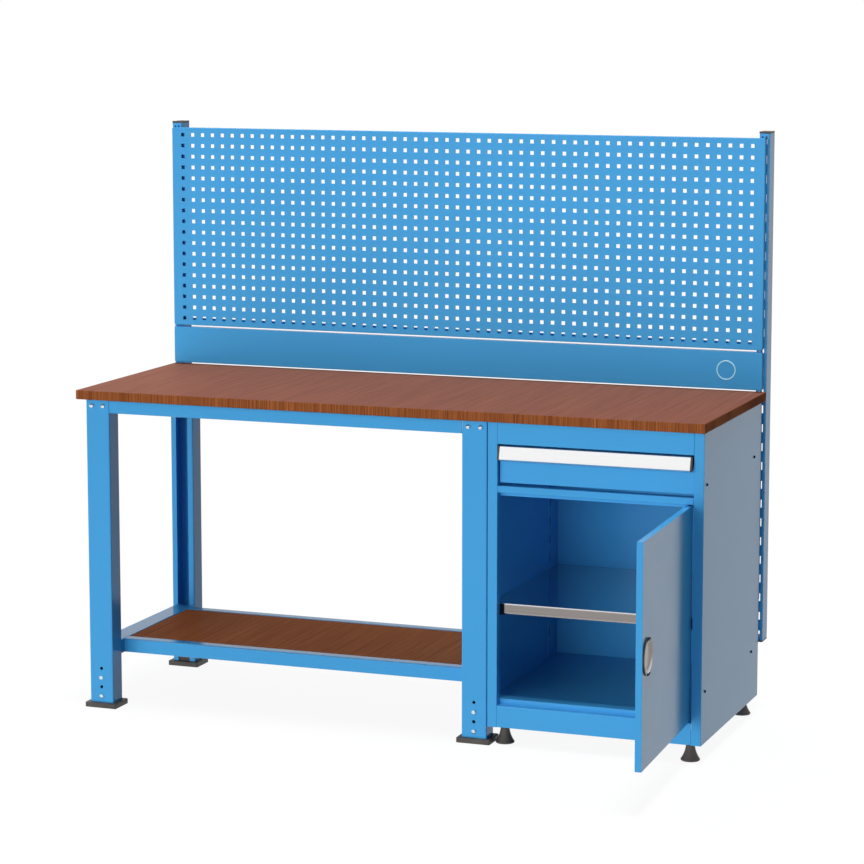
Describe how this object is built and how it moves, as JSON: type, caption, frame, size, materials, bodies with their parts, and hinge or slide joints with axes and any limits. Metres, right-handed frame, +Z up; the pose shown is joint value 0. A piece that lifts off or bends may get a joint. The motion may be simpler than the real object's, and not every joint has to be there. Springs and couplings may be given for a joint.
{
  "type": "workbench with cabinet",
  "caption": "Blue steel workbench with a wood top, perforated back panel, lower shelf and a cabinet with a drawer and a door.",
  "frame": {"origin": "on the floor under the middle of the whole object's box, with the door open as it rests", "axes": "+Z up, the front faces -Y, the cabinet is at +X"},
  "size_m": [1.7, 1.1172, 1.5263],
  "materials": {
    "blue_steel": "gloss powder coat",
    "wood_board": "satin brown grain",
    "black_plastic": "matt",
    "zinc_steel": "satin zinc",
    "aluminium": "satin",
    "satin_metal": "satin"
  },
  "bodies": {
    "bench_frame": {"worktop": "wood_board", "leg_front_left": "blue_steel", "leg_rear_left": "blue_steel", "leg_front_mid": "blue_steel", "leg_rear_mid": "blue_steel", "leg_foot_front_left": "black_plastic", "leg_foot_rear_left": "black_plastic", "leg_foot_front_mid": "black_plastic", "leg_foot_rear_mid": "black_plastic", "top_rail_front": "blue_steel", "top_rail_rear": "blue_steel", "shelf_rail_front": "blue_steel", "shelf_rail_rear": "blue_steel", "shelf_rail_left": "blue_steel", "shelf_rail_right": "blue_steel", "shelf_board": "wood_board", "upright_left": "blue_steel", "upright_right": "blue_steel", "upright_cap_top_left": "black_plastic", "upright_cap_top_right": "black_plastic", "upright_cap_foot_left": "black_plastic", "upright_cap_foot_right": "black_plastic", "upright_bracket_left": "blue_steel", "upright_bracket_right": "blue_steel", "perforated_panel": "blue_steel", "cable_strip": "blue_steel", "strip_port_cover": "blue_steel", "cabinet_side_left": "blue_steel", "cabinet_side_right": "blue_steel", "cabinet_back": "blue_steel", "cabinet_floor": "blue_steel", "cabinet_top_rail": "blue_steel", "cabinet_divider": "blue_steel", "cabinet_foot_front_left": "black_plastic", "cabinet_foot_rear_left": "black_plastic", "cabinet_foot_front_right": "black_plastic", "cabinet_foot_rear_right": "black_plastic", "shelf_standard_left": "blue_steel", "shelf_standard_right": "blue_steel", "cabinet_shelf": "zinc_steel", "shelf_clip_front_left": "black_plastic", "shelf_clip_front_right": "black_plastic", "shelf_clip_rear_left": "black_plastic", "shelf_clip_rear_right": "black_plastic", "runner_fixed_left": "zinc_steel", "runner_fixed_right": "zinc_steel", "hinge_pin_top": "zinc_steel", "hinge_pin_foot": "zinc_steel"},
    "drawer": {"drawer_front": "blue_steel", "drawer_box": "blue_steel", "drawer_handle": "aluminium", "handle_cap_left": "black_plastic", "handle_cap_right": "black_plastic", "runner_inner_left": "zinc_steel", "runner_inner_right": "zinc_steel"},
    "runner_middles": {"runner_middle_left": "zinc_steel", "runner_middle_right": "zinc_steel"},
    "door": {"door": "blue_steel", "door_bezel": "black_plastic", "door_dish": "satin_metal"}
  },
  "joints": [
    {"name": "drawer_slide", "type": "slide", "parent": "bench_frame", "child": "drawer", "axis": [0, -1, 0], "range_m": [0, 0.45]},
    {"name": "runner_middle_slide", "type": "slide", "parent": "bench_frame", "child": "runner_middles", "axis": [0, -1, 0], "range_m": [0, 0.225]},
    {"name": "door_hinge", "type": "hinge", "parent": "bench_frame", "child": "door", "pos_m": [0.8075, -0.06667, 0.37425], "axis": [0, 0, 1], "range_deg": [-92.5, 12.5]}
  ],
  "couplings": [
    {"joint": "runner_middle_slide", "follows": "drawer_slide", "ratio": 0.5}
  ]
}
